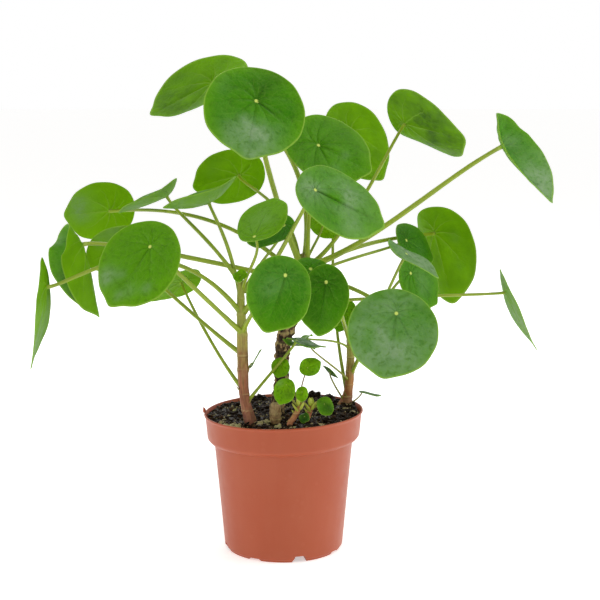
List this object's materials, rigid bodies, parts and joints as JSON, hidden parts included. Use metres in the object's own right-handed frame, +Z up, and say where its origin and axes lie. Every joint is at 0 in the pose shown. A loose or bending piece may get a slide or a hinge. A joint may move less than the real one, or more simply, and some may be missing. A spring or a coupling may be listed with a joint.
{
  "type": "potted pilea plant",
  "caption": "Leafy house plant with round, long-stalked leaves on upright stems, standing in a tapered plastic nursery pot filled with soil.",
  "frame": {"origin": "centre of the pot's underside, on the surface that the pot stands on", "axes": "+Z up, +X to the right and +Y to the back, seen from the front of the plant; the tall drain notch is near the front"},
  "size_m": [0.3744, 0.2512, 0.3703],
  "materials": {
    "pot_plastic": "satin",
    "potting_soil": "matte",
    "leaf": "gloss",
    "young_leaf": "gloss",
    "green_stem": "satin",
    "bark_trunk": "matte",
    "shoot_stem": "satin",
    "dry_wood": "matte"
  },
  "bodies": {
    "root": {"pot": "pot_plastic", "soil": "potting_soil", "stem_left": "green_stem", "stem_middle": "bark_trunk", "stem_right": "green_stem", "stem_shoot_front": "shoot_stem", "stem_shoot_right": "shoot_stem", "dry_stump": "dry_wood", "leaf_top_back_left": "leaf", "leaf_top_front": "leaf", "leaf_upper_left_back": "leaf", "leaf_far_left_back": "leaf", "leaf_far_left_folded": "leaf", "leaf_upper_middle": "leaf", "leaf_top_right_back": "leaf", "leaf_far_right_top": "leaf", "leaf_right_back": "leaf", "leaf_right_upper": "leaf", "leaf_right_front": "leaf", "leaf_far_right_low": "leaf", "leaf_middle_back": "leaf", "leaf_crown_front": "leaf", "leaf_left_flat": "leaf", "leaf_left_back_flat": "leaf", "leaf_left_front": "leaf", "leaf_left_behind": "leaf", "leaf_left_low_back": "leaf", "leaf_far_left_low": "leaf", "leaf_centre_young": "leaf", "leaf_centre_young_back": "leaf", "leaf_centre_front": "leaf", "leaf_upper_front": "leaf", "leaf_left_top_young": "young_leaf", "leaf_left_low_centre": "leaf", "leaf_left_sliver": "young_leaf", "leaf_upper_right_back": "leaf", "leaf_centre_right_front": "leaf", "leaf_right_edge": "leaf", "leaf_right_middle": "leaf", "leaf_right_low_centre": "young_leaf", "leaf_right_low_back": "young_leaf", "leaf_right_top_young": "young_leaf", "leaf_right_sliver": "young_leaf", "leaf_right_rim": "young_leaf", "leaf_shoot_front_large": "young_leaf", "leaf_shoot_front_back": "young_leaf", "leaf_shoot_front_tall": "young_leaf", "leaf_shoot_front_young": "young_leaf", "leaf_shoot_right_large": "young_leaf", "leaf_shoot_right_low": "young_leaf"}
  },
  "joints": []
}
